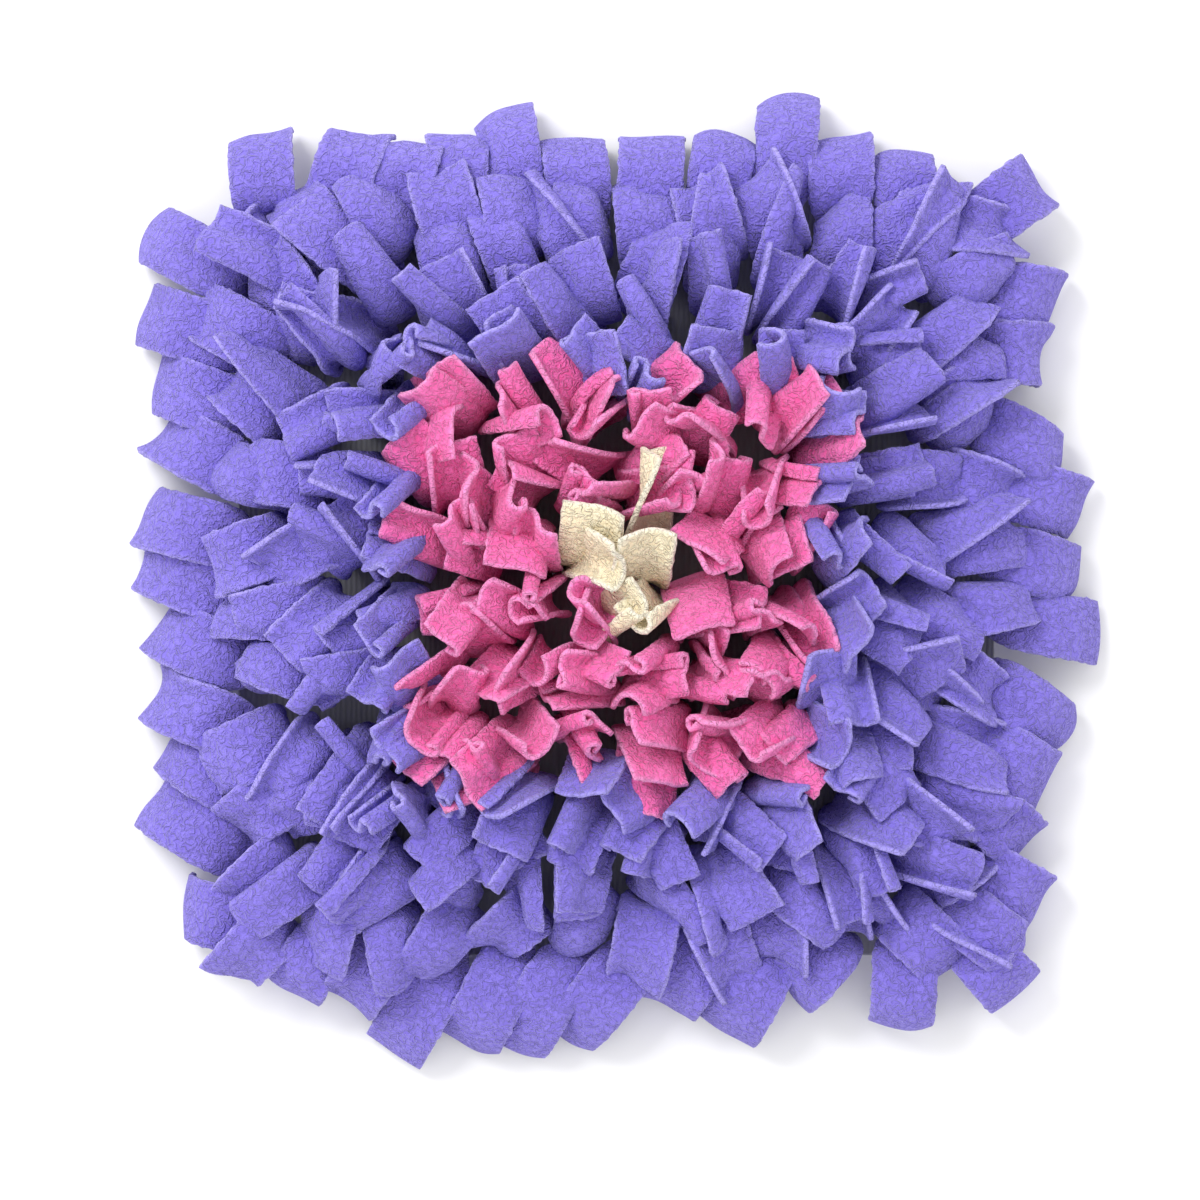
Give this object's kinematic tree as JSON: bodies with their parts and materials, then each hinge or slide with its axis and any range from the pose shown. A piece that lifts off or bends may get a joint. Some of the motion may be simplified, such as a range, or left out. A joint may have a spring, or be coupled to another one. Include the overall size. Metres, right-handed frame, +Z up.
{
  "type": "snuffle mat",
  "caption": "Square pet snuffle mat: a thick pile of fleece strips, purple around a pink middle with a cream heart, tied to a flat base, with pockets between the strips for treats.",
  "frame": {"origin": "middle of the flat underside of the base mat, on the floor", "axes": "+Z up, +Y towards the back edge, +X towards the right edge seen from above"},
  "size_m": [0.3826, 0.3794, 0.0712],
  "materials": {
    "base_cloth": "matt flat woven sheet",
    "purple_fleece": "matt pilled polar fleece",
    "pink_fleece": "matt pilled polar fleece",
    "cream_fleece": "matt pilled polar fleece"
  },
  "bodies": {
    "root": {"base_mat": "base_cloth", "fringe_right": "purple_fleece", "fringe_back": "purple_fleece", "fringe_left": "purple_fleece", "fringe_front": "purple_fleece", "purple_row_two_right": "purple_fleece", "purple_row_two_back": "purple_fleece", "purple_row_two_left": "purple_fleece", "purple_row_two_front": "purple_fleece", "purple_row_three_right": "purple_fleece", "purple_row_three_back": "purple_fleece", "purple_row_three_left": "purple_fleece", "purple_row_three_front": "purple_fleece", "pink_row_four_right": "pink_fleece", "pink_row_four_back": "pink_fleece", "pink_row_four_left": "pink_fleece", "pink_row_four_front": "pink_fleece", "pink_row_five_right": "pink_fleece", "pink_row_five_back": "pink_fleece", "pink_row_five_left": "pink_fleece", "pink_row_five_front": "pink_fleece", "pink_heart_left": "pink_fleece", "cream_heart": "cream_fleece", "pink_heart_right": "pink_fleece"}
  },
  "joints": []
}
